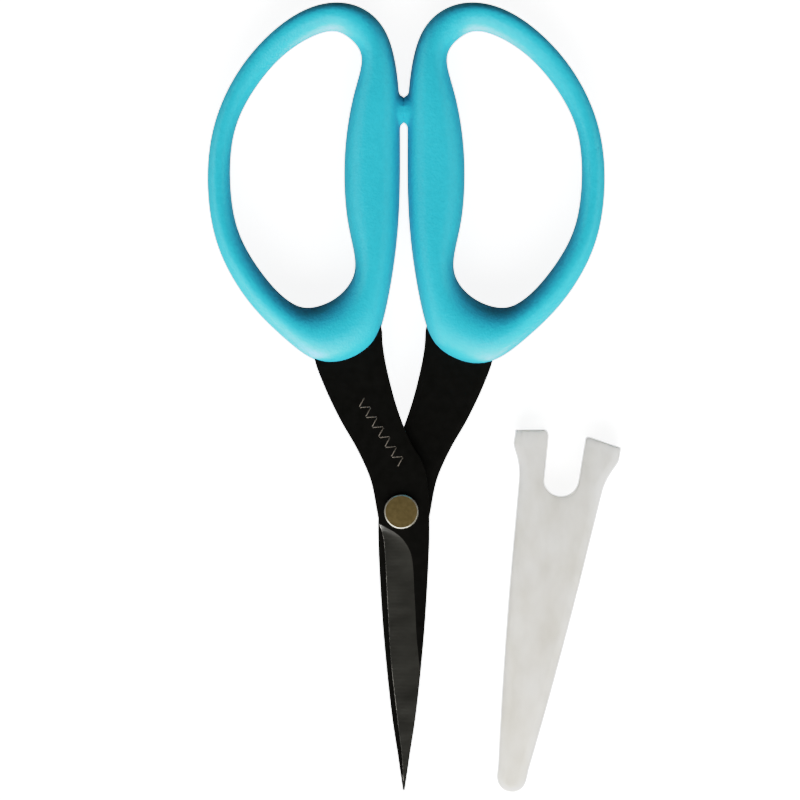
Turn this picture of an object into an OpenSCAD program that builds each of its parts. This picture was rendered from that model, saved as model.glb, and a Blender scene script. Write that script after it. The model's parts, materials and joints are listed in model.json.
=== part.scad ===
// Thread snips with soft finger bows, and the sleeve that covers the closed blades.
//
// Both halves are the same blank. It is drawn once, as the right-hand half, with its bow on +X,
// and flipped about the closed snips' centre line for the left-hand half.
// +Y runs from the pivot to the bows, -Y to the tips and +Z up, out of the table that the snips
// lie on. The origin is on the pivot's axis, in the plane where the two blades meet.

/* [Blades] */
// Distance from the pivot to the tips
blade_len = 44.9; // [43:0.1:47]
// Thickness of each blade
blade_t = 1.6; // [1.4:0.1:1.8]
// Steel left standing at the cutting edge
edge_t = 0.25; // [0.15:0.05:0.4]
// Gap between each blade and the plane where they meet
ride_gap = 0.02; // [0.01:0.01:0.05]
// Distance from the pivot's axis to the closed snips' centre line
centre_x = 0.4; // [0:0.1:0.6]

/* [Bows] */
// Thickness of the bows at the palm side, where the snips rest on the table
bow_t = 11; // [10.8:0.1:11.6]
// Distance from the centre line to each bow's facing side
bow_inner = 0.65; // [0.5:0.05:1]
// Width of the left bow, as a share of the drawn one
left_stretch = 0.99; // [0.98:0.005:1.02]
// Width of the right bow, as a share of the drawn one
right_stretch = 1.015; // [0.98:0.005:1.02]
// Thickness of the soft skin over the rigid core
skin_t = 1.1; // [0.9:0.1:1.2]
// Diameter of the bumpers that stop the bows when the snips close
bumper_d = 4.6; // [4:0.1:5.2]
// Distance from the pivot to the bumpers
bumper_y = 64.7; // [63:0.1:66]
// Distance from the pivot to the end of the tang, inside the bow
tang_end = 57; // [52:1:60]

/* [Pivot] */
// Diameter of the screw's flat head
head_d = 5.5; // [5:0.1:5.6]
// Height of the screw's head
head_h = 0.9; // [0.6:0.1:1.2]
// Width of the chamfer round the head
head_chamfer = 0.45; // [0.2:0.05:0.5]
// Diameter of the pin
pin_d = 3; // [2.6:0.1:3.4]
// Radial clearance of the pin in the blades
pin_gap = 0.04; // [0.02:0.01:0.08]
// Thickness of the nut
nut_h = 1.2; // [1:0.1:1.4]

/* [Cover] */
// Length of the cover
cover_len = 58.7; // [57:0.1:60]
// Height of the cover
cover_h = 5.2; // [5.1:0.05:5.3]
// Wall of the cover
cover_wall = 0.52; // [0.4:0.02:0.54]
// Width of the notch that passes the pivot
notch_w = 5.9; // [5.7:0.1:6.4]
// Depth of the notch
notch_depth = 10.4; // [8:0.1:12]
// Place of the cover's tip beside the snips
cover_at = [17.5, -45.3]; // [-60:0.1:60]
// Angle that the cover leans away from the blades
cover_lean = 9.5; // [0:0.5:12]

/* [Hidden] */
$fn = 48;

table_z = -bow_t / 2;
blade_back = -ride_gap - blade_t;
mould_gap = 0.03;
cut_over = 1;

// Steel edges of the right-hand blank, tip first
cutting_edge = [[0, -blade_len], [0.25, -39.6], [0.9, -34.4], [2, -24.6], [2.65, -14], [3, -7],
                [3.35, -3.9]];
shank_outside = [[3.9, -2], [4.3, 0.2], [5.3, 5.1], [7.4, 9.9], [10.2, 14.8], [12.6, 19.8],
                 [14.3, 24.4]];
spine = [[0, -blade_len], [-0.8, -40], [-2, -32], [-3.15, -20.7], [-3.8, -11], [-4.1, -3],
         [-3.9, 2.8], [-3.5, 6.2], [-2.6, 8.6]];
shank_inside = [[-1.4, 10.5], [0, 13.6], [1.5, 18], [2.8, 23.2], [3.45, 26.8]];
tang_outside = [[14, 26.6], [13, 29], [10.4, 31.4], [7.8, 34.2], [6, 38.2], [5.9, 42], [6.6, 50]];
tang_inside = [[3.3, 50], [3.7, 41], [4.2, 34], [4.2, 31.5], [3.65, 29.2]];
tang_w = 3.7;
edge_steps = 3;

// The ground bevel: [y, cutting edge x, grind line x]. Below the last row the bevel is as wide
// as the blade.
bevel = [[-3.1, 3.55, 1.8], [-3.9, 3.34, 0.8], [-5.2, 3.14, -0.35], [-6.4, 3.05, -0.95],
         [-8, 2.95, -1.3], [-10.4, 2.8, -1.5], [-14.6, 2.6, -1.7], [-19.6, 2.35, -2],
         [-24.6, 2, -2.5], [-34.4, 0.9, -3.6], [-46, -0.2, -4.7]];
bevel_start = -1.9;
skim = 0.01;

// Stations round the bow: [outline x, y, finger hole x, y, half thickness], with x from the
// side that faces the other bow
bow_half = bow_t / 2;
bow_stations = [
    [0, 54, 9, 54, bow_half],           [0, 61.5, 8.6, 61, bow_half],
    [0.25, 68.5, 7.3, 67.8, 5],         [1.8, 76.2, 6.2, 73.2, 4.3],
    [5.5, 80.8, 8.2, 76.4, 3.8],        [10.8, 82.1, 11.4, 77.5, 3.5],
    [17.2, 80, 16, 75.7, 3.3],          [23.8, 74.3, 20.7, 71.9, 3.1],
    [28.6, 66.8, 24.9, 66.1, 3.1],      [31, 58.5, 27.4, 59, 3.2],
    [31.1, 49.6, 27.4, 49.8, 3.5],      [29.1, 41.4, 25.3, 42.7, 4.1],
    [24.7, 33.8, 21.4, 36.9, 4.7],      [18.8, 27.8, 18, 33.7, 5.1],
    [12.2, 23.8, 14.8, 32.7, bow_half], [5.7, 25.7, 10.6, 34.1, bow_half],
    [2.7, 31, 7.7, 37.4, bow_half],     [0.95, 40, 7.4, 41.4, bow_half],
    [0.2, 47.5, 8.5, 47, bow_half]];
bow_steps = 3;
ring_points = 16;
roundness = 2.5;
flat_share = 1.04;
bumper_gap = 0.06;
bumper_len = 1.6;

washer_t = 0.3;
spring_t = 0.25;
spring_rise = 0.15;
nut_d = 5.8;
nut_slot = 0.8;
stack_gap = 0.02;
washer_gap = 0.05;
thread_gap = 0.02;
spring_inset = 0.1;

// Half widths of the cover along its length, tip first: [half width, distance from the tip]
cover_side = [[2.35, 4], [3.5, 15], [5, 31], [6.1, 45], [6.6, 50], [7.6, 53], [8.5, 55.4],
              [8.6, 57.2], [8.2, 57.8]];
cover_tip_r = 2.3;
mouth_over = 3;

// A point on a Catmull-Rom span, from b to c
function span(a, b, c, d, t) =
    b + 0.5 * t * (c - a + t * (2 * a - 5 * b + 4 * c - d + t * (3 * (b - c) + d - a)));

// A curve through the points of an open list, and one round a closed list
function open_curve(p, n) = [for (i = [0 : len(p) - 2], k = [0 : n - 1])
    span(p[max(i - 1, 0)], p[i], p[i + 1], p[min(i + 2, len(p) - 1)], k / n), p[len(p) - 1]];
function closed_curve(p, n) = [for (i = [0 : len(p) - 1], k = [0 : n - 1])
    let (m = len(p)) span(p[(i + m - 1) % m], p[i], p[(i + 1) % m], p[(i + 2) % m], k / n)];

function shift_x(p, d) = [for (q = p) q + [d, 0]];
function flip_list(p) = [for (i = [len(p) - 1 : -1 : 0]) p[i]];
function side_power(v, e) = sign(v) * pow(abs(v), e);

// One ring of the bow's section. It is drawn from the outline to the hole, shrunk by inset.
function ring(s, inset) =
    let (outline = [s[0], s[1]], hole = [s[2], s[3]], width = norm(hole - outline),
         middle = (outline + hole) / 2, along = (hole - outline) / width,
         w = width / 2 - inset, h = min(s[4], bow_half) - inset)
    [for (k = [0 : ring_points - 1])
        let (a = 360 * (k + 0.5) / ring_points,
             u = w * side_power(cos(a), 2 / roundness),
             v = h * max(-1, min(1, flat_share * side_power(sin(a), 2 / roundness))))
        [middle[0] + u * along[0], middle[1] + u * along[1], v]];

// The bow as a closed tube of rings, stretched away from the centre line
function placed(s, stretch) =
    [bow_inner + stretch * s[0], s[1], bow_inner + stretch * s[2], s[3], s[4]];

module bow(inset, stretch) {
    stations = closed_curve([for (s = bow_stations) placed(s, stretch)], bow_steps);
    rings = len(stations);
    points = [for (s = stations) each ring(s, inset)];
    faces = [for (i = [0 : rings - 1], k = [0 : ring_points - 1])
        let (a = i * ring_points + k, b = i * ring_points + (k + 1) % ring_points,
             c = ((i + 1) % rings) * ring_points + (k + 1) % ring_points,
             d = ((i + 1) % rings) * ring_points + k)
        each [[a, b, c], [a, c, d]]];
    polyhedron(points = points, faces = faces, convexity = 6);
}

// The blank's outline, with room round the tang where it makes the slot in the bow
module blank_outline(room) {
    edge = open_curve(concat(cutting_edge, shift_x(shank_outside, room)), edge_steps);
    back = open_curve(concat(spine, shift_x(shank_inside, -room)), edge_steps);
    tang_x = tang_inside[0][0];
    polygon(concat(edge, shift_x(tang_outside, room),
        [[tang_x + tang_w + room, tang_end + room], [tang_x - room, tang_end + room]],
        shift_x(tang_inside, -room), flip_list(back)));
}

// What the grinding wheel takes off the blank's back face
module bevel_cut() {
    rise = blade_t - edge_t;
    first = [[bevel[0][1] + cut_over, bevel_start, blade_back - skim],
             [bevel[0][1], bevel_start, blade_back - skim],
             [bevel[0][1] + cut_over, bevel_start, blade_back - cut_over]];
    rest = [for (b = bevel) let (slope = rise / (b[1] - b[2]))
        each [[b[1] + cut_over, b[0], -ride_gap - edge_t + slope * cut_over],
              [b[2] - cut_over, b[0], blade_back - slope * cut_over],
              [b[1] + cut_over, b[0], blade_back - slope * cut_over - cut_over]]];
    points = concat(first, rest);
    last = len(points) - 3;
    faces = concat([[0, 1, 2], [last + 2, last + 1, last]],
        [for (i = [0 : 3 : last - 3], k = [0 : 2]) let (j = (k + 1) % 3)
            each [[i + k, i + 3 + k, i + 3 + j], [i + k, i + 3 + j, i + j]]]);
    polyhedron(points = points, faces = faces, convexity = 4);
}

// The right-hand steel blank, before its bore
module blank() {
    difference() {
        translate([0, 0, blade_back]) linear_extrude(blade_t) blank_outline(0);
        bevel_cut();
    }
}

// Places a right-hand shape on the centre line, as it is or flipped for the left hand
module right_hand() { translate([centre_x, 0, 0]) children(); }
module left_hand() { translate([centre_x, 0, 0]) rotate([0, 180, 0]) children(); }

module pin_bore() {
    translate([0, 0, -bow_t]) cylinder(h = 2 * bow_t, d = pin_d + 2 * pin_gap);
}

module tang_slot() {
    translate([0, 0, blade_back - mould_gap])
        linear_extrude(blade_t + 2 * mould_gap) blank_outline(mould_gap);
}

module core(stretch) {
    difference() {
        bow(skin_t, stretch);
        tang_slot();
    }
}

module grip(stretch) {
    difference() {
        union() {
            bow(0, stretch);
            translate([bumper_gap / 2, bumper_y, 0]) rotate([0, 90, 0])
                cylinder(h = bumper_len, d = bumper_d);
        }
        bow(skin_t - mould_gap, stretch);
        tang_slot();
    }
}

module front_blade() {
    color("#1b1a19") difference() {
        left_hand() blank();
        pin_bore();
    }
}

module back_blade() {
    color("#1b1a19") difference() {
        right_hand() blank();
        pin_bore();
    }
}

module left_core() { color("#2b7f8c") left_hand() core(left_stretch); }
module right_core() { color("#2b7f8c") right_hand() core(right_stretch); }
module left_grip() { color("#37bdd1") left_hand() grip(left_stretch); }
module right_grip() { color("#37bdd1") right_hand() grip(right_stretch); }

// The screw: a flat head with a chamfer, and a plain pin down to the end of the nut
module pivot_screw() {
    head_base = ride_gap + blade_t;
    pin_bottom = nut_top() - nut_h;
    color("#a08a58") {
        translate([0, 0, pin_bottom]) cylinder(h = head_base - pin_bottom, d = pin_d);
        translate([0, 0, head_base]) cylinder(h = head_h - head_chamfer, d = head_d);
        translate([0, 0, head_base + head_h - head_chamfer])
            cylinder(h = head_chamfer, d1 = head_d, d2 = head_d - 2 * head_chamfer);
    }
}

function washer_top() = blade_back - stack_gap;
function spring_top() = washer_top() - washer_t - stack_gap;
function nut_top() = spring_top() - spring_t - spring_rise - stack_gap;

module friction_washer() {
    color("#e8e4d8") translate([0, 0, washer_top() - washer_t]) difference() {
        cylinder(h = washer_t, d = nut_d);
        translate([0, 0, -cut_over]) cylinder(h = 3 * cut_over, d = pin_d + 2 * washer_gap);
    }
}

// A shallow cone that keeps the blades pressed together
module spring_washer() {
    inner = pin_d / 2 + washer_gap;
    outer = nut_d / 2 - spring_inset;
    color("#8f9093") translate([0, 0, spring_top()]) rotate_extrude()
        polygon([[inner, -spring_t - spring_rise], [outer, -spring_t], [outer, 0],
                 [inner, -spring_rise]]);
}

module pivot_nut() {
    color("#a08a58") translate([0, 0, nut_top() - nut_h]) difference() {
        cylinder(h = nut_h, d = nut_d);
        translate([0, 0, -cut_over]) cylinder(h = 3 * cut_over + nut_h, d = pin_d + 2 * thread_gap);
        translate([-nut_d, -nut_slot / 2, -cut_over])
            cube([2 * nut_d, nut_slot, cut_over + nut_h / 3]);
    }
}

// The cover's outline, pulled in by a wall and reaching past its mouth by over
module cover_outline(wall, over) {
    side = shift_x(open_curve(cover_side, 2), -wall);
    top = side[len(side) - 1];
    union() {
        translate([0, cover_tip_r]) circle(r = cover_tip_r - wall);
        polygon(concat([[cover_tip_r - wall, cover_tip_r]], side,
            over > 0 ? [[top[0] + over / 4, top[1] + over], [-top[0] - over / 4, top[1] + over]]
                     : [[notch_w / 2, cover_len], [-notch_w / 2, cover_len]],
            flip_list([for (p = side) [-p[0], p[1]]]), [[wall - cover_tip_r, cover_tip_r]]));
    }
}

module blade_cover() {
    notch_r = notch_w / 2;
    notch_y = cover_len - notch_depth + notch_r;
    color("#cfcdc6") translate([cover_at[0], cover_at[1], table_z]) rotate([0, 0, -cover_lean])
        difference() {
            linear_extrude(cover_h) cover_outline(0, 0);
            translate([0, 0, cover_wall]) linear_extrude(cover_h - 2 * cover_wall)
                cover_outline(cover_wall, mouth_over);
            translate([0, notch_y, -cut_over]) cylinder(h = cover_h + 2 * cut_over, r = notch_r);
            translate([-notch_r, notch_y, -cut_over])
                cube([notch_w, notch_depth, cover_h + 2 * cut_over]);
        }
}

front_blade();
back_blade();
left_core();
right_core();
left_grip();
right_grip();
pivot_screw();
friction_washer();
spring_washer();
pivot_nut();
blade_cover();
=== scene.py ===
import json
import math

import bmesh
import bpy
import numpy as np
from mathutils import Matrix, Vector


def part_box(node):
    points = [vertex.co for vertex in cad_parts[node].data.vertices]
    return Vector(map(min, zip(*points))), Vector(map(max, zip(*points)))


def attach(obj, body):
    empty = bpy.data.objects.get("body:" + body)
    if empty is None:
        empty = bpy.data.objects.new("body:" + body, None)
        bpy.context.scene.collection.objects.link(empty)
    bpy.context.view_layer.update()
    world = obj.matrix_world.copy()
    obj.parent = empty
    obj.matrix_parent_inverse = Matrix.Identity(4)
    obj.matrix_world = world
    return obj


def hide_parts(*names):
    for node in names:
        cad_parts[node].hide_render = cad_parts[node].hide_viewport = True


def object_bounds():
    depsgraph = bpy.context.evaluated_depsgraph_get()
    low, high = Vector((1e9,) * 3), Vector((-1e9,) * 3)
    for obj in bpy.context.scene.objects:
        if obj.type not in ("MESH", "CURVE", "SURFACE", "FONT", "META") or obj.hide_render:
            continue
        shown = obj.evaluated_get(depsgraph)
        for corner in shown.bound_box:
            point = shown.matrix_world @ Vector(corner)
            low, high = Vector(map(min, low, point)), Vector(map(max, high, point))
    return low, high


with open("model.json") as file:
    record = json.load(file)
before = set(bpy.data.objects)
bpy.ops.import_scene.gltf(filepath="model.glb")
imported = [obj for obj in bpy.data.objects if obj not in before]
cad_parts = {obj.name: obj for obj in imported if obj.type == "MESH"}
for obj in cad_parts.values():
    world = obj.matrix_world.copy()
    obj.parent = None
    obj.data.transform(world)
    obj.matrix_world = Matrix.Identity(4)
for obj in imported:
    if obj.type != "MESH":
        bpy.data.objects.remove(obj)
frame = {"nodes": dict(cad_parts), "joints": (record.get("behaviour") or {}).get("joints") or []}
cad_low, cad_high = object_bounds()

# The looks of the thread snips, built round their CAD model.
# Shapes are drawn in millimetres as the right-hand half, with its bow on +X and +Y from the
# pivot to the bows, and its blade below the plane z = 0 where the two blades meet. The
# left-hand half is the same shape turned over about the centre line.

MM = 0.001


def box_mm(node):
    """Lowest and highest corner of a CAD node, in millimetres."""
    low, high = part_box(node)
    return np.array(low) / MM, np.array(high) / MM


# ---------------------------------------------------------------- sizes read from the frame

front_low, front_high = box_mm("front_blade")
back_high = box_mm("back_blade")[1]
screw_low, screw_high = box_mm("pivot_screw")

CENTRE_X = (front_low[0] + back_high[0]) / 2
RIDE_GAP = front_low[2]
BLADE_T = front_high[2] - front_low[2]
TIP_Y = front_low[1]
TANG_END = front_high[1]
HEAD_R = screw_high[0]
TABLE_Z = cad_low[2] / MM

# ------------------------------------------------------------------------ the shapes' points

# Steel edges of the right-hand blank, tip first: the side of the cutting edge, and the spine
EDGE_SIDE = [(0, -44.9), (0.25, -39.6), (0.9, -34.4), (2, -24.6), (2.65, -14), (3, -7),
             (3.35, -3.9), (3.9, -2), (4.3, 0.2), (5.3, 5.1), (7.4, 9.9), (10.2, 14.8),
             (12.6, 19.8), (14.3, 24.4), (14, 26.6), (13, 29), (10.4, 31.4), (7.8, 34.2),
             (6, 38.2), (5.9, 42), (6.6, 50), (7, 57)]
SPINE_SIDE = [(0, -44.9), (-0.8, -40), (-2, -32), (-3.15, -20.7), (-3.8, -11), (-4.1, -3),
              (-3.9, 2.8), (-3.5, 6.2), (-2.6, 8.6), (-1.4, 10.5), (0, 13.6), (1.5, 18),
              (2.8, 23.2), (3.4, 26.8), (3.55, 29.2), (4.1, 31.5),
              (4.2, 34), (3.7, 41), (3.3, 50), (3.3, 57)]
# Where the ground bevel meets the flat face, and where it ends at the cutting edge
GRIND_LINE = [(-4.7, -46), (-3.6, -34.4), (-2.5, -24.6), (-2.03, -19.6), (-1.86, -16),
              (-1.67, -12.5), (-1.5, -9), (-1.15, -6.8), (-0.45, -5.3), (0.5, -4.1),
              (1.85, -3.1), (3, -2.5), (3.9, -2)]
BEVEL_EDGE = [(-0.2, -46), (0.9, -34.4), (2, -24.6), (2.35, -19.6), (2.6, -14.6), (2.8, -10.4),
              (2.95, -8), (3.05, -6.4), (3.14, -5.2), (3.34, -3.9), (3.55, -3.1), (3.9, -2)]
BEVEL_TOP = -2
BEVEL_DEEP = -3.1
EDGE_T = 0.25
HOLLOW = 0.05
CORNER_R = 0.12
# The most that a rounded corner takes of the blank's width, and of its thickness
CORNER_SHARE = (0.3, 0.4)
TOOTH = 0.6
TOOTH_STEPS = 6
TOOTH_DEPTH = 0.05
TOOTH_START = -4.2
TOOTH_END = -43.5
COATED_TIP = 1.5
# Half width added to the blank: at its blunted tip, and from BLUNT_LEN on
BLUNT_HALF = (0.13, 0.03)
BLUNT_LEN = 6
# Points on each rounded corner of the blank's section, and columns over its face and its bevel
CORNER_POINTS, FACE_COLUMNS, BEVEL_COLUMNS = 5, 4, 12
LEAST_GAP = 0.02
PIN_GAP = 0.04
WASHER_GAP = 0.05

# Stations round the bow: outline x, y, finger hole x, y, half thickness, and how far the crown
# leans to the outline as a share of the width. x starts at the side that faces the other bow.
BOW = [(0, 54, 9, 54, 5.15, 0), (0, 61.5, 8.6, 61, 5.1, 0), (0.25, 68.5, 7.3, 67.8, 4.9, 0),
       (1.8, 76.2, 6.2, 73.2, 4.25, 0), (5.5, 80.8, 8.2, 76.4, 3.75, 0.05),
       (10.8, 82.1, 11.4, 77.5, 3.45, 0.1), (17.2, 80, 16, 75.75, 3.25, 0.12),
       (23.8, 74.3, 20.7, 71.95, 3.1, 0.12), (28.6, 66.8, 24.95, 66.15, 3.05, 0.06),
       (31, 58.5, 27.45, 59, 3.15, 0), (31.1, 49.6, 27.45, 49.8, 3.5, 0),
       (29.15, 41.4, 25.35, 42.7, 4.1, 0), (24.7, 33.8, 21.4, 36.85, 4.7, 0),
       (18.85, 27.8, 18.05, 33.7, 5.1, 0), (12.2, 23.8, 14.8, 32.65, 5.4, 0),
       (5.65, 25.7, 10.6, 34.1, 5.45, 0), (2.65, 31, 7.7, 37.4, 5.5, 0),
       (0.95, 40, 7.4, 41.4, 5.5, 0), (0.2, 47.5, 8.5, 47, 5.35, 0)]
# Distance from the centre line to the facing sides, and each bow's width as a share of the
# drawn one
BOW_INNER = 0.65
LEFT_STRETCH, RIGHT_STRETCH = 0.99, 1.015
BOW_ROUND = 2.15
SKIN = 1.07
BUMPER_SPAN = 1
# Rings on each span and points on each ring of the outside, with more rings at the bumper, and
# of the inside
BOW_STEPS, BUMPER_STEPS, RING_POINTS = 8, 36, 96
INNER_STEPS, INNER_POINTS = 3, 32
BUMPER_Y = 64.7
BUMPER_R = 2.15
BUMPER_FILLET = 0.9
BUMPER_REACH = 3
PARTING_H = 0.05
PARTING_W = 0.12

# Half widths of the cover along its length: half width, distance from the tip
COVER_SIDE = [(2.4, 4), (3.65, 15), (5.2, 31), (6.3, 45), (6.7, 50), (7, 51.8), (7.55, 53.4),
              (8.4, 55.2), (8.55, 56.2), (8.55, 60)]
COVER_NOSE = 2.3
COVER_CORNER = 1.5
COVER_WALL = 0.52
NOTCH_R = 2.9
NOTCH_Y = 51.2
NOTCH_FLARE = 0.5
MOUTH_Y = 58.7
MOUTH_FALL = 0.171
MOUTH_STEP = 0.25


# ---------------------------------------------------------------------- curves and sections

def catmull(points, steps):
    """A smooth open curve through points, with that many steps on each span."""
    p = np.array(points, float)
    rows = []
    for i in range(len(p) - 1):
        a, b, c, d = p[max(i - 1, 0)], p[i], p[i + 1], p[min(i + 2, len(p) - 1)]
        for t in np.arange(steps) / steps:
            rows.append(b + 0.5 * t * (c - a + t * (2 * a - 5 * b + 4 * c - d
                                                    + t * (3 * (b - c) + d - a))))
    return np.array(rows + [p[-1]])


def loop_spline(points, steps):
    """A closed cubic spline through points, with steps[i] steps on span i."""
    p = np.array(points, float)
    n = len(p)
    ahead, behind = np.roll(p, -1, 0), np.roll(p, 1, 0)
    system = 4 * np.eye(n) + np.roll(np.eye(n), 1, 0) + np.roll(np.eye(n), -1, 0)
    bend = np.linalg.solve(system, 6 * (ahead - 2 * p + behind))
    rows = []
    for i in range(n):
        j = (i + 1) % n
        for t in np.arange(steps[i]) / steps[i]:
            s = 1 - t
            rows.append(s * p[i] + t * p[j] + (s**3 - s) * bend[i] / 6
                        + (t**3 - t) * bend[j] / 6)
    return np.array(rows)


def side_at(points, y):
    """x of the curve through points at each distance y from the pivot."""
    curve = catmull(points, 12)
    return np.interp(y, curve[:, 1], curve[:, 0])


def power(value, exponent):
    """A power that keeps the value's sign."""
    return np.sign(value) * np.abs(value) ** exponent


def rounded(outline, radii, steps=5):
    """A closed outline with its corners rounded. radii is one size, or one for each corner."""
    p = np.array(outline, float)
    sizes = np.broadcast_to(radii, len(p))
    rows = []
    for before, corner, after, size in zip(np.roll(p, 1, 0), p, np.roll(p, -1, 0), sizes):
        if size == 0:
            rows.append(corner)
            continue
        back, on = before - corner, after - corner
        start = corner + back * min(size / np.linalg.norm(back), 0.5)
        end = corner + on * min(size / np.linalg.norm(on), 0.5)
        for t in np.linspace(0, 1, steps + 1):
            rows.append((1 - t) ** 2 * start + 2 * t * (1 - t) * corner + t * t * end)
    return np.array(rows)


# --------------------------------------------------------------------------- mesh building

def band_faces(rows, columns, wrap_rows=False):
    """Quads over rows of points. Each row is a closed ring, and wrap_rows joins the last row to
    the first."""
    faces = []
    for i in range(rows if wrap_rows else rows - 1):
        for k in range(columns):
            a, b = i * columns + k, i * columns + (k + 1) % columns
            step = ((i + 1) % rows - i) * columns
            faces.append((a, b, b + step, a + step))
    return faces


def make_solid(name, rings, wrap_rows=False, sharp_columns=(), inside_out=False,
               fan_ends=False):
    """A closed solid through rings of points in millimetres, shaped (rows, columns, 3). Its ends
    are single faces, or fans of triangles."""
    rows, columns, _ = rings.shape
    points = rings.reshape(-1, 3)
    faces = band_faces(rows, columns, wrap_rows)
    for start in () if wrap_rows else (0, (rows - 1) * columns):
        if fan_ends:
            middle = len(points)
            points = np.vstack([points, points[start:start + columns].mean(axis=0)])
            faces += [(start + k, start + (k + 1) % columns, middle) for k in range(columns)]
        else:
            faces.append(tuple(range(start, start + columns)))
    mesh = bpy.data.meshes.new(name)
    mesh.from_pydata((points * MM).tolist(), [], faces)
    bm = bmesh.new()
    bm.from_mesh(mesh)
    bmesh.ops.recalc_face_normals(bm, faces=bm.faces)
    if inside_out:
        bmesh.ops.reverse_faces(bm, faces=bm.faces)
    for face in bm.faces:
        face.smooth = True
    for edge in bm.edges:
        a, b = (v.index % columns for v in edge.verts)
        edge.smooth = not (a == b and a in sharp_columns)
    bm.to_mesh(mesh)
    bm.free()
    piece = bpy.data.objects.new(name, mesh)
    bpy.context.scene.collection.objects.link(piece)
    return piece


def settle(piece):
    """Applies the piece's modifiers to its mesh."""
    bpy.context.view_layer.update()
    evaluated = piece.evaluated_get(bpy.context.evaluated_depsgraph_get())
    mesh = bpy.data.meshes.new_from_object(evaluated)
    piece.modifiers.clear()
    piece.data = mesh


def cut_out(piece, cutter):
    """Cuts the other solid out of the piece, and drops it."""
    modifier = piece.modifiers.new("cut_out", "BOOLEAN")
    modifier.operation = "DIFFERENCE"
    modifier.solver = "EXACT"
    modifier.object = cutter
    settle(piece)
    bpy.data.objects.remove(cutter)


def join_shell(piece, shell):
    """Adds the shell's faces to the piece's mesh, and drops the shell."""
    bm = bmesh.new()
    bm.from_mesh(piece.data)
    bm.from_mesh(shell.data)
    bm.to_mesh(piece.data)
    bm.free()
    bpy.data.objects.remove(shell)


def soften(piece, width, angle):
    """Rounds the piece's sharp edges by width millimetres."""
    modifier = piece.modifiers.new("soften", "BEVEL")
    modifier.width = width * MM
    modifier.segments = 3
    modifier.limit_method = "ANGLE"
    modifier.angle_limit = math.radians(angle)
    settle(piece)


def even_normals(piece, angle):
    """Shades flats flat next to narrow rounded edges, with creases kept above that angle."""
    piece.data.set_sharp_from_angle(angle=math.radians(angle))
    modifier = piece.modifiers.new("normals", "WEIGHTED_NORMAL")
    modifier.keep_sharp = True


def prism(name, outline, low, high):
    """A solid over a closed outline, from height low to high."""
    p = np.array(outline, float)
    layers = [np.column_stack([p, np.full(len(p), height)]) for height in (low, high)]
    return make_solid(name, np.array(layers))


def lathe(name, profile, segments=96):
    """A solid turned about the pivot's axis from radius, height points."""
    p = np.array(profile, float)
    turns = np.linspace(0, 2 * math.pi, segments, endpoint=False)
    rings = np.array([[(r * math.cos(a), r * math.sin(a), z) for r, z in p] for a in turns])
    return make_solid(name, rings, wrap_rows=True)


def right_hand(points):
    """Puts points of the drawn half in their place on the right."""
    return points + np.array([CENTRE_X, 0, 0])


def left_hand(points):
    """Turns points of the drawn half over, about the centre line."""
    return points * np.array([-1, 1, -1]) + np.array([CENTRE_X, 0, 0])


# ------------------------------------------------------------------------------- materials

# The stretch of the noise over which a colour or roughness goes from one value to the other
NOISE_RANGE = (0.3, 0.7)


def ramp(tree, source, low, high, start, stop):
    """Maps source from start..stop to low..high."""
    node = tree.nodes.new("ShaderNodeMapRange")
    node.inputs["From Min"].default_value = start
    node.inputs["From Max"].default_value = stop
    node.inputs["To Min"].default_value = low
    node.inputs["To Max"].default_value = high
    tree.links.new(source, node.inputs["Value"])
    return node.outputs["Result"]


def noise(tree, scale, stretch=(1, 1, 1), detail=3.0):
    """Noise in the piece's own coordinates. scale is features per metre."""
    place = tree.nodes.new("ShaderNodeTexCoord")
    mapping = tree.nodes.new("ShaderNodeMapping")
    mapping.inputs["Scale"].default_value = stretch
    texture = tree.nodes.new("ShaderNodeTexNoise")
    texture.inputs["Scale"].default_value = scale
    texture.inputs["Detail"].default_value = detail
    tree.links.new(place.outputs["Object"], mapping.inputs["Vector"])
    tree.links.new(mapping.outputs["Vector"], texture.inputs["Vector"])
    return texture.outputs["Fac"]


def blend_colours(tree, fac, first, second):
    """Mixes two colours by fac. The node's colour sockets are its inputs 6 and 7 and output 2."""
    node = tree.nodes.new("ShaderNodeMix")
    node.data_type = "RGBA"
    node.inputs[6].default_value = (*first, 1)
    node.inputs[7].default_value = (*second, 1)
    tree.links.new(fac, node.inputs[0])
    return node.outputs[2]


def material(name, colours, colour_noise, roughness, rough_noise, bumps, **sockets):
    """A Principled material. colour_noise and rough_noise are noise() settings, and bumps is a
    list of noise() settings with a height in millimetres."""
    made = bpy.data.materials.new(name)
    made.use_nodes = True
    tree = made.node_tree
    shader = tree.nodes["Principled BSDF"]
    tint = ramp(tree, noise(tree, **colour_noise), 0, 1, *NOISE_RANGE)
    tree.links.new(blend_colours(tree, tint, *colours), shader.inputs["Base Color"])
    rough = ramp(tree, noise(tree, **rough_noise), *roughness, *NOISE_RANGE)
    tree.links.new(rough, shader.inputs["Roughness"])
    normal = None
    for height, settings in bumps:
        bump = tree.nodes.new("ShaderNodeBump")
        bump.inputs["Distance"].default_value = height * MM
        tree.links.new(noise(tree, **settings), bump.inputs["Height"])
        if normal is not None:
            tree.links.new(normal, bump.inputs["Normal"])
        normal = bump.outputs["Normal"]
    tree.links.new(normal, shader.inputs["Normal"])
    for socket, value in sockets.items():
        shader.inputs[socket.replace("_", " ")].default_value = value
    return made


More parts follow.
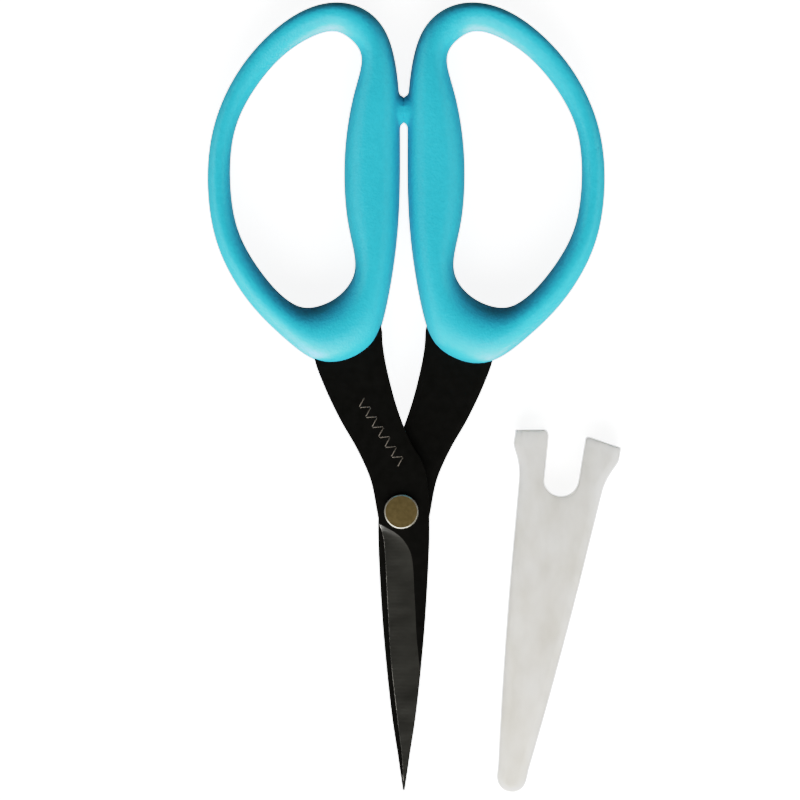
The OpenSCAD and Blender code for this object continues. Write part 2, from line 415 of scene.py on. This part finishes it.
def clear_toward_tip(made, mouth, tip):
    """Lets more light through the plastic at the cover's tip than at its mouth."""
    tree = made.node_tree
    place = tree.nodes.new("ShaderNodeTexCoord")
    split = tree.nodes.new("ShaderNodeSeparateXYZ")
    tree.links.new(place.outputs["Object"], split.inputs["Vector"])
    low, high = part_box("blade_cover")
    through = ramp(tree, split.outputs["Y"], mouth, tip, high[1], low[1])
    tree.links.new(through, tree.nodes["Principled BSDF"].inputs["Transmission Weight"])


soft_touch = material(
    "soft_touch_grip",
    [(0.0225, 0.412, 0.60), (0.0295, 0.478, 0.685)], dict(scale=1500, detail=4),
    (0.4, 0.5), dict(scale=140),
    [(0.08, dict(scale=2600, detail=2)), (0.03, dict(scale=500))],
    Sheen_Weight=0.05, Sheen_Roughness=0.45, Specular_IOR_Level=0.8)
rigid_core = material(
    "rigid_core",
    [(0.018, 0.22, 0.27), (0.024, 0.26, 0.31)], dict(scale=120),
    (0.38, 0.5), dict(scale=300), [(0.01, dict(scale=2000))])
coating = material(
    "black_coating",
    [(0.0030, 0.0029, 0.0024), (0.0046, 0.0044, 0.0038)], dict(scale=700, detail=5),
    (0.30, 0.42), dict(scale=900), [(0.004, dict(scale=5000, detail=2))],
    Specular_IOR_Level=0.1)
ground = material(
    "ground_bevel",
    [(0.018, 0.0175, 0.0145), (0.037, 0.0362, 0.031)],
    dict(scale=210, stretch=(1, 2, 1), detail=9),
    (0.36, 0.48), dict(scale=300, stretch=(1, 24, 1)),
    [(0.003, dict(scale=400, stretch=(1, 22, 1), detail=4))],
    Metallic=0.3, Specular_IOR_Level=0.35)
# Bare steel at the cutting edge: its lighter colour is real, and the bright patches its colour
# noise makes along the edge are painted glints.
bare_edge_painted_glints = material(
    "bare_cutting_edge_painted_glints",
    [(0.05, 0.047, 0.042), (0.5, 0.48, 0.44)], dict(scale=1500),
    (0.22, 0.4), dict(scale=900), [(0.004, dict(scale=4000))],
    Metallic=0.4)
# The screw head's face: the head's metal coloured dark, as painted shade.
painted_shade_disc_face = material(
    "screw_face_painted_shade",
    [(0.13, 0.094, 0.031), (0.178, 0.131, 0.049)], dict(scale=1500, detail=6),
    (0.42, 0.6), dict(scale=1200), [(0.01, dict(scale=3500, detail=4))],
    Metallic=0.5)
# The screw head's chamfered rim, also used on the nut: the head's metal coloured lighter, as a
# painted highlight.
painted_highlight_disc_rim = material(
    "screw_rim_painted_highlight",
    [(0.40, 0.38, 0.32), (0.5, 0.48, 0.41)], dict(scale=600),
    (0.26, 0.34), dict(scale=800), [(0.0004, dict(scale=2500))],
    Metallic=0.65)
polymer = material(
    "washer_polymer",
    [(0.70, 0.67, 0.6), (0.78, 0.76, 0.69)], dict(scale=400),
    (0.4, 0.5), dict(scale=900), [(0.004, dict(scale=3000))])
spring_steel = material(
    "spring_steel",
    [(0.38, 0.38, 0.39), (0.5, 0.5, 0.51)], dict(scale=500),
    (0.25, 0.35), dict(scale=900), [(0.004, dict(scale=2600))],
    Metallic=1.0)
frosted = material(
    "frosted_plastic",
    [(0.70, 0.67, 0.59), (0.99, 0.965, 0.90)],
    dict(scale=130, stretch=(2, 1, 1), detail=8),
    (0.42, 0.55), dict(scale=200),
    [(0.012, dict(scale=1400, detail=2)), (0.03, dict(scale=110, stretch=(5, 1, 1)))],
    Subsurface_Weight=1.0, Subsurface_Scale=0.003, Subsurface_Radius=(1, 1, 1),
    Specular_IOR_Level=0.45, Sheen_Weight=0.5, Sheen_Roughness=0.4)
etched = material(
    "etched_mark",
    [(0.09, 0.077, 0.062), (0.14, 0.12, 0.1)], dict(scale=2500),
    (0.5, 0.6), dict(scale=2000), [(0.003, dict(scale=5000))])
clear_toward_tip(frosted, mouth=0.2, tip=0.5)


# ------------------------------------------------------------------------------- the blades

def blade_rows():
    """Distances from the pivot at which the blank is drawn, tip first."""
    run_out_step, past_bevel, shank_rows = 0.08, 0.5, 130
    ground_part = np.arange(TIP_Y, TOOTH_START, TOOTH / TOOTH_STEPS)
    run_out = np.arange(TOOTH_START, BEVEL_TOP + past_bevel, run_out_step)
    shank = np.linspace(BEVEL_TOP + past_bevel + 0.1, TANG_END, shank_rows)
    return np.concatenate([ground_part, run_out, shank])


def blank_rings(y):
    """Rings of the right-hand blank at rows y, with the material of each face column: 0 coated, 1
    ground and 2 bare edge, whose bright patches are painted glints. The last value says which
    rows have the bevel."""
    toothed = (y > TOOTH_END) & (y < TOOTH_START)
    tooth = np.where(toothed, TOOTH_DEPTH * (1 - np.abs(1 - 2 * (y / TOOTH % 1))), 0)
    spare = np.interp(y, [TIP_Y, TIP_Y + BLUNT_LEN], BLUNT_HALF)
    left = side_at(SPINE_SIDE, y) - spare
    right = side_at(EDGE_SIDE, y) + spare - tooth
    beveled = y < BEVEL_TOP
    corner = np.minimum(CORNER_R, CORNER_SHARE[0] * (right - left))
    land = np.interp(y, [BEVEL_DEEP, BEVEL_TOP], [EDGE_T, BLADE_T - CORNER_R])
    edge = np.where(beveled, np.clip(side_at(BEVEL_EDGE, y) - tooth, left + corner + LEAST_GAP,
                                     right - LEAST_GAP), right)
    grind = np.where(beveled, side_at(GRIND_LINE, y), right - corner)
    grind = np.minimum(grind, edge - LEAST_GAP)

    def outer(x):
        across = np.clip((edge - x) / (edge - grind), 0, 1)
        hollow = HOLLOW * 4 * across * (1 - across)
        return land + (BLADE_T - land) * across - np.where(beveled, hollow, 0)

    spine_top = outer(left + corner)
    corner = np.minimum(corner, CORNER_SHARE[1] * spine_top)
    flat_end = np.maximum(grind, left + corner + LEAST_GAP / 2)
    columns, kinds = [], []

    def add(x, t, kind):
        columns.append((x, t))
        kinds.append(kind)

    arc = np.radians(np.linspace(0, 90, CORNER_POINTS))
    for a in arc:
        add(left + corner * (1 - math.sin(a)), corner * (1 - math.cos(a)), 0)
    for a in arc:
        add(left + corner * (1 - math.cos(a)), spine_top - corner * (1 - math.sin(a)), 0)
    for share in np.linspace(0, 1, FACE_COLUMNS + 2)[1:-1]:
        x = left + corner + share * (flat_end - left - corner)
        add(x, outer(x), 0)
    for share in np.linspace(0, 1, BEVEL_COLUMNS + 1):
        x = flat_end + share * (edge - flat_end)
        a = share * math.pi / 2
        round_x = right - corner * (1 - math.sin(a))
        round_t = BLADE_T - corner * (1 - math.cos(a))
        add(np.where(beveled, x, round_x), np.where(beveled, outer(x), round_t),
            1 if share < 1 else 2)
    foot, below_corner = np.minimum(2 * LEAST_GAP, land / 3), 0.05
    add(right, np.where(beveled, land - LEAST_GAP, BLADE_T - CORNER_R - below_corner), 2)
    add(right, foot, 0)
    add(right - foot, 0 * right, 0)
    for share in np.linspace(1, 0, 8)[1:-1]:
        add(left + corner + share * (right - foot - left - corner), 0 * right, 0)
    rings = np.array([[(x[i], y[i], -RIDE_GAP - t[i]) for x, t in columns]
                      for i in range(len(y))])
    return rings, np.array(kinds), beveled


GRIND_COLUMN = 2 * CORNER_POINTS + FACE_COLUMNS
EDGE_COLUMN = GRIND_COLUMN + BEVEL_COLUMNS


def make_blade(name, node, body, place):
    """One steel blank with its ground bevel, bare edge with painted glints, and bore."""
    y = blade_rows()
    rings, kinds, beveled = blank_rings(y)
    blade = make_solid(name, place(rings), sharp_columns=(GRIND_COLUMN, EDGE_COLUMN),
                       fan_ends=True)
    for made in (coating, ground, bare_edge_painted_glints):
        blade.data.materials.append(made)
    # Kind 2 columns take the bare edge's colour, whose bright patches are painted glints.
    for face in blade.data.polygons[:(len(y) - 1) * len(kinds)]:
        row, column = divmod(face.index, len(kinds))
        kind = kinds[column] if y[row] > TIP_Y + COATED_TIP else min(kinds[column], 1)
        face.material_index = int(kind) if beveled[row] else 0
    radius = screw_pin_radius() + PIN_GAP
    turns = np.linspace(0, 2 * math.pi, 64, endpoint=False)
    circle = np.column_stack([radius * np.cos(turns), radius * np.sin(turns)])
    cut_out(blade, prism("bore", circle, TABLE_Z, -TABLE_Z))
    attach(blade, body)
    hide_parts(node)


def screw_pin_radius():
    """Radius of the pin, from the CAD screw's lowest ring of points."""
    points = np.array([v.co for v in frame["nodes"]["pivot_screw"].data.vertices]) / MM
    lowest = points[points[:, 2] < screw_low[2] + 0.01]
    return float(np.hypot(lowest[:, 0], lowest[:, 1]).max())


make_blade("front_blade_steel", "front_blade", "left_half", left_hand)
make_blade("back_blade_steel", "back_blade", "right_half", right_hand)


# ---------------------------------------------------------------------------- the bow grips

def ring_angles(points):
    """Angles round the bow's section, with close pairs beside the mould's parting line."""
    usual_half = 5
    beside = [math.asin((v / usual_half) ** (BOW_ROUND / 2)) for v in (PARTING_W, 2 * PARTING_W)]
    angles = list(np.linspace(0, 2 * math.pi, points, endpoint=False))
    for middle in (0, math.pi, 2 * math.pi):
        angles += [middle + a for a in beside] + [middle - a for a in beside]
    return np.array(sorted(a for a in angles if -1e-9 < a < 2 * math.pi - 1e-9))


def bow_rings(stretch, inset, steps, angles):
    """Rings of the right-hand bow, each drawn from its outline to its finger hole and no thicker
    than the table allows."""
    stations = [(BOW_INNER + stretch * s[0], s[1], BOW_INNER + stretch * s[2], *s[3:])
                for s in BOW]
    rows = loop_spline(stations, steps)
    outline, hole, half = rows[:, 0:2], rows[:, 2:4], np.minimum(rows[:, 4], -TABLE_Z)
    width = np.linalg.norm(hole - outline, axis=1)
    along = (hole - outline) / width[:, None]
    u = np.outer(width / 2 - inset, power(np.cos(angles), 2 / BOW_ROUND))
    v = np.outer(half - inset, power(np.sin(angles), 2 / BOW_ROUND))
    if inset == 0:
        ridge = PARTING_H * np.clip(1 - np.abs(v) / PARTING_W, 0, 1)
        u += ridge * np.sign(np.cos(angles))
    u -= (rows[:, 5] * width)[:, None] * (v / half[:, None]) ** 2
    xy = ((outline + hole) / 2)[:, None, :] + u[:, :, None] * along[:, None, :]
    return np.dstack([xy, v])


def raise_bumper(rings):
    """Draws the facing side out to the centre line at the bumper, with a rounded root."""
    x, y, z = rings[:, :, 0], rings[:, :, 1], rings[:, :, 2]
    share = np.clip((np.hypot(y - BUMPER_Y, z) - BUMPER_R) / BUMPER_FILLET, 0, 1)
    rings[:, :, 0] = np.where(x < BUMPER_REACH, x * np.sqrt(share * (2 - share)), x)


def fit_bow(rings, node):
    """Stretches the right-hand bow so that it fills the CAD node's box."""
    low, high = box_mm(node)
    outer = max(high[0] - CENTRE_X, CENTRE_X - low[0])
    x, y = rings[:, :, 0], rings[:, :, 1]
    rings[:, :, 0] = BOW_INNER + (x - BOW_INNER) * (outer - BOW_INNER) / (x.max() - BOW_INNER)
    rings[:, :, 1] = low[1] + (y - y.min()) * (high[1] - low[1]) / (y.max() - y.min())


def make_grip(name, node, body, stretch, place):
    """A soft bow with a hollow for its core and a slot for the tang."""
    spans = [BOW_STEPS] * len(BOW)
    spans[BUMPER_SPAN] = BUMPER_STEPS
    rings = bow_rings(stretch, 0, spans, ring_angles(RING_POINTS))
    fit_bow(rings, node)
    raise_bumper(rings)
    grip = make_solid(name, place(rings), wrap_rows=True)
    inner = bow_rings(stretch, SKIN, [INNER_STEPS] * len(BOW), ring_angles(INNER_POINTS))
    join_shell(grip, make_solid("inner", place(inner), wrap_rows=True, inside_out=True))
    grip.data.materials.append(soft_touch)
    room, start_y, slot_rows = 0.05, 12, 60
    y = np.linspace(start_y, TANG_END + room, slot_rows)
    left, right = side_at(SPINE_SIDE, y) - room, side_at(EDGE_SIDE, y) + room
    top, bottom = room - RIDE_GAP, -RIDE_GAP - BLADE_T - room
    slot = np.array([[(a, q, bottom), (b, q, bottom), (b, q, top), (a, q, top)]
                     for a, b, q in zip(left, right, y)])
    cut_out(grip, make_solid("tang_slot", place(slot)))
    even_normals(grip, 35)
    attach(grip, body)
    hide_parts(node)


make_grip("left_bow_grip", "left_grip", "left_half", LEFT_STRETCH, left_hand)
make_grip("right_bow_grip", "right_grip", "right_half", RIGHT_STRETCH, right_hand)
for core in ("left_core", "right_core"):
    frame["nodes"][core].data.materials.clear()
    frame["nodes"][core].data.materials.append(rigid_core)


# --------------------------------------------------------------------------- the pivot stack

PIVOT_CREASE = 50
# What a solid of turning keeps as its radius on the axis
ON_AXIS = 0.01


def ring_profile(node, hole, radius=0.08):
    """The rounded section of a flat ring that fills the CAD node's box, with that hole."""
    low, high = box_mm(node)
    r = high[0]
    return rounded([(hole, low[2]), (r, low[2]), (r, high[2]), (hole, high[2])], radius)


def finish_pivot(piece, looks, node):
    """Gives a piece of the pivot its materials and its place in the frame."""
    for made in looks:
        piece.data.materials.append(made)
    even_normals(piece, PIVOT_CREASE)
    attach(piece, "left_half")
    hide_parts(node)


def make_screw():
    """The pin with its flat head, one metal coloured darker on its face as painted shade and
    lighter round its chamfered rim as a painted highlight.
    """
    pin, base, top = screw_pin_radius(), RIDE_GAP + BLADE_T, screw_high[2]
    chamfer, rim_inside, rim_above = 0.19, 0.02, 0.1
    face_r = HEAD_R - chamfer
    corners = [(ON_AXIS, screw_low[2]), (pin, screw_low[2]), (pin, base), (HEAD_R, base),
               (HEAD_R, top - chamfer), (face_r, top), (ON_AXIS, top)]
    corner_sizes = [0, 0.15, 0.05, 0.06, 0.08, 0.06, 0]
    screw = lathe("pivot_screw_body", rounded(corners, corner_sizes, steps=4), 128)
    finish_pivot(screw, (painted_shade_disc_face, painted_highlight_disc_rim), "pivot_screw")
    # Faces on the chamfered rim take the lighter painted-highlight colour, the rest the darker
    # painted-shade colour.
    for face in screw.data.polygons:
        radius = math.hypot(face.center.x, face.center.y) / MM
        on_highlight_rim = radius > face_r - rim_inside and face.center.z / MM > base + rim_above
        face.material_index = 1 if on_highlight_rim else 0


def make_nut():
    """The nut, with a screwdriver's slot across its lower face."""
    low = box_mm("pivot_nut")[0]
    thread_gap, edge_r, half_slot, depth, reach = 0.02, 0.15, 0.4, 0.4, 9
    profile = ring_profile("pivot_nut", screw_pin_radius() + thread_gap, edge_r)
    nut = lathe("pivot_nut_body", profile)
    slot_outline = [(-reach, -half_slot), (reach, -half_slot), (reach, half_slot),
                    (-reach, half_slot)]
    cut_out(nut, prism("slot", slot_outline, low[2] - 1, low[2] + depth))
    finish_pivot(nut, (painted_highlight_disc_rim,), "pivot_nut")


def make_spring():
    """The cone washer: its inner rim sits lower than its outer one."""
    low, high = box_mm("spring_washer")
    inner, outer, rise, edge_r = screw_pin_radius() + WASHER_GAP, high[0], 0.15, 0.05
    profile = rounded([(inner, low[2]), (outer, low[2] + rise), (outer, high[2]),
                       (inner, high[2] - rise)], edge_r)
    finish_pivot(lathe("spring_washer_cone", profile), (spring_steel,), "spring_washer")


def make_friction_washer():
    """The flat polymer ring behind the back blade."""
    profile = ring_profile("friction_washer", screw_pin_radius() + WASHER_GAP)
    finish_pivot(lathe("friction_washer_disc", profile), (polymer,), "friction_washer")


make_screw()
make_nut()
make_spring()
make_friction_washer()


# ------------------------------------------------------------------------- the etched stitches

def stitch_mark():
    """A generic zigzag stitch, etched along the front shank."""
    start, end = np.array([0.1, 7.6]), np.array([-6.6, 18])
    bars, amplitude, width, gap, sink, lift = 13, 0.9, 0.15, 0.2, 0.02, 0.006
    top = RIDE_GAP + BLADE_T
    along = (end - start) / np.linalg.norm(end - start)
    across = np.array([-along[1], along[0]])
    knots = [start + (end - start) * i / bars + across * amplitude * (-1) ** i
             for i in range(bars + 1)]
    mark = None
    for a, b in zip(knots, knots[1:]):
        run = (b - a) / np.linalg.norm(b - a)
        a, b = a + run * gap, b - run * gap
        side = np.array([-run[1], run[0]]) * width / 2
        outline = rounded([a - side, b - side, b + side, a + side], width / 3, 3)
        bar = prism("etched_stitch_mark", outline, top - sink, top + lift)
        if mark is None:
            mark = bar
        else:
            join_shell(mark, bar)
    mark.data.materials.append(etched)
    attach(mark, "left_half")


stitch_mark()


# ---------------------------------------------------------------------------------- the cover

slide = next(j for j in frame["joints"] if j["name"] == "cover_slide")
COVER_ALONG = -np.array(slide["axis"][:2])
COVER_ACROSS = np.array([COVER_ALONG[1], -COVER_ALONG[0]])


def cover_place(points):
    """Places points given as across, along and height over the table."""
    corners = np.array([v.co for v in frame["nodes"]["blade_cover"].data.vertices]) / MM
    across, along = corners[:, :2] @ COVER_ACROSS, corners[:, :2] @ COVER_ALONG
    origin = ((across.min() + across.max()) / 2) * COVER_ACROSS + along.min() * COVER_ALONG
    xy = origin + points[..., 0:1] * COVER_ACROSS + points[..., 1:2] * COVER_ALONG
    return np.concatenate([xy, points[..., 2:3] + TABLE_Z], axis=-1)


def sleeve(name, inset, length):
    """The cover's outer shape, or its pocket when inset by the wall."""
    low, high = box_mm("blade_cover")
    middle, half_height = (high[2] - low[2]) / 2, (high[2] - low[2]) / 2 - inset
    side = catmull(COVER_SIDE, 6)
    nose_r, nose_rows, quarter_points = COVER_NOSE - inset, 15, 11
    rows = [(nose_r * math.sin(a), COVER_NOSE - nose_r * math.cos(a),
             half_height * (1 - (1 - math.sin(a)) ** 2) ** 0.5)
            for a in np.radians(np.linspace(3, 87, nose_rows))]
    rows += [(w - inset, s, half_height) for w, s in side if s < length]
    rows.append((side[-1][0] - inset, length, half_height))
    rings = []
    for half_width, s, half_rise in rows:
        radius = min(COVER_CORNER - inset, 0.95 * half_width, 0.95 * half_rise)
        ring = []
        for quarter, (sx, sz) in enumerate([(1, 1), (-1, 1), (-1, -1), (1, -1)]):
            start = 90 * quarter
            for a in np.radians(np.linspace(start, start + 90, quarter_points)):
                ring.append((sx * (half_width - radius) + radius * math.cos(a), s,
                             middle + sz * (half_rise - radius) + radius * math.sin(a)))
        rings.append(ring)
    return make_solid(name, cover_place(np.array(rings)))


def mouth_cutters():
    """Everything past the mouth's edge, with the notch that passes the pivot. The upper wall
    ends a step before the lower one."""
    wide, beyond, edge_round, flare_round = 12, 8, 0.7, 0.9
    outer_y = MOUTH_Y - (wide - NOTCH_R) * MOUTH_FALL
    arc = [(NOTCH_R * math.cos(a), NOTCH_Y - NOTCH_R * math.sin(a))
           for a in np.linspace(0, math.pi, 33)]
    outline = [(-wide, outer_y), (-wide, MOUTH_Y + beyond), (wide, MOUTH_Y + beyond),
               (wide, outer_y), (NOTCH_R, MOUTH_Y), *arc, (-NOTCH_R - NOTCH_FLARE, MOUTH_Y)]
    sizes = [0] * 4 + [edge_round] + [0] * len(arc) + [flare_round]
    low, high = box_mm("blade_cover")
    height, over = high[2] - low[2], 1
    flat = rounded(outline, sizes)
    cutters = []
    for back, floor, top in ((0, -over, height / 2 + 0.05),
                             (MOUTH_STEP, height / 2, height + over)):
        layers = [np.column_stack([flat[:, 0], flat[:, 1] - back, np.full(len(flat), h)])
                  for h in (floor, top)]
        cutters.append(make_solid("mouth", cover_place(np.array(layers))))
    return cutters


def make_cover():
    """The sleeve with its pocket, cut off at the mouth."""
    past_mouth, edge_r, crease = 3, 0.12, 50
    cover = sleeve("blade_cover_sleeve", 0, MOUTH_Y + past_mouth)
    cut_out(cover, sleeve("pocket", COVER_WALL, MOUTH_Y + past_mouth + 2))
    for cutter in mouth_cutters():
        cut_out(cover, cutter)
    soften(cover, edge_r, crease)
    cover.data.materials.append(frosted)
    for face in cover.data.polygons:
        face.use_smooth = True
        face.material_index = 0
    even_normals(cover, crease + 10)
    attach(cover, "cover")
    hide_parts("blade_cover")


make_cover()


# ------------------------------------------------------------------- stage, light and camera

# What the picture shows for each scene value, up to the one that is white
TONE = [(0.1, 0.1), (0.33, 0.37), (0.5, 0.51), (1.0, 0.72), (1.5, 0.81)]
WHITE = 2.0
ROOM_COLOUR, ROOM_STRENGTH = (1, 0.965, 0.9), 0.04
# Metres from the snips to each light, and from the table's middle to the floor's edge
LIGHT_AWAY, STAGE_HALF = 2.4, 3.0
CAMERA_LENS, CAMERA_AT = 195.4, (-0.00021, 0.01795, 0.7)


def emitting(name, colour, strength, grain):
    """A matte stage material with some light of its own."""
    made = material(name, [colour, tuple(0.985 * c for c in colour)], dict(scale=3),
                    (0.8, 0.9), dict(scale=5), [(grain, dict(scale=400))],
                    Specular_IOR_Level=0.1)
    shader = made.node_tree.nodes["Principled BSDF"]
    shader.inputs["Emission Color"].default_value = (1, 1, 1, 1)
    shader.inputs["Emission Strength"].default_value = strength
    return made


def make_stage():
    """A floor under the snips and a pale dome over them, neither of which lights them."""
    bpy.ops.mesh.primitive_grid_add(x_subdivisions=8, y_subdivisions=8, size=2 * STAGE_HALF,
                                    location=(0, 0, cad_low[2]))
    floor = bpy.context.object
    floor.name = "floor"
    floor.data.materials.append(emitting("floor", (0.3, 0.3, 0.3), 1.8, 0.01))
    bpy.ops.mesh.primitive_uv_sphere_add(segments=64, ring_count=32, radius=0.97 * STAGE_HALF)
    dome = bpy.context.object
    dome.name = "dome"
    dome.data.materials.append(emitting("dome", (0.0, 0.0, 0.0), WHITE, 0.0))
    for part in (floor, dome):
        part.visible_diffuse = False
        part.visible_glossy = False
        part.visible_shadow = False


def area_light(name, azimuth, elevation, width, height, watts, **seen):
    """A soft panel aimed at the snips. Azimuth 0 is on -Y and 90 on +X, and seen says which rays
    it is left out of."""
    a, e = math.radians(azimuth), math.radians(elevation)
    target = (cad_low + cad_high) / 2
    way = Vector((math.sin(a) * math.cos(e), -math.cos(a) * math.cos(e), math.sin(e)))
    data = bpy.data.lights.new(name, "AREA")
    data.shape = "RECTANGLE"
    data.size, data.size_y = width, height
    data.energy = watts
    light = bpy.data.objects.new(name, data)
    light.location = target + way * LIGHT_AWAY
    light.rotation_mode = "QUATERNION"
    light.rotation_quaternion = (-way).to_track_quat("-Z", "Y")
    for kind, value in seen.items():
        setattr(light, kind, value)
    bpy.context.scene.collection.objects.link(light)


def make_light():
    """Soft panels in front, below and at both sides, with a dim room round them."""
    area_light("key", 0, 42, 2.6, 2.0, 108, visible_glossy=False)
    area_light("low_front", 0, -27, 2.8, 2.6, 84)
    area_light("sheen", -14, -10, 5.0, 2.4, 98, visible_diffuse=False)
    area_light("left_side", -80, 6, 3.0, 1.8, 58, visible_glossy=False)
    area_light("right_side", 80, 6, 3.0, 1.8, 44, visible_glossy=False)
    world = bpy.data.worlds.new("soft_room")
    world.use_nodes = True
    room = world.node_tree.nodes["Background"]
    room.inputs["Color"].default_value = (*ROOM_COLOUR, 1)
    room.inputs["Strength"].default_value = ROOM_STRENGTH
    bpy.context.scene.world = world


def make_tone():
    """The soft shoulder of a photograph: what is brighter than the grips is drawn together."""
    view = bpy.context.scene.view_settings
    view.view_transform = "Standard"
    view.use_curve_mapping = True
    view.curve_mapping.white_level = (WHITE, WHITE, WHITE)
    for scene_value, shown in TONE:
        view.curve_mapping.curves[3].points.new(scene_value / WHITE, shown)
    view.curve_mapping.update()


def make_camera():
    """Straight down on the snips, with the bows at the top of the picture."""
    data = bpy.data.cameras.new("camera")
    data.sensor_width = 36
    data.lens = CAMERA_LENS
    camera = bpy.data.objects.new("camera", data)
    camera.location = CAMERA_AT
    bpy.context.scene.collection.objects.link(camera)
    bpy.context.scene.camera = camera


make_stage()
make_light()
make_tone()
make_camera()
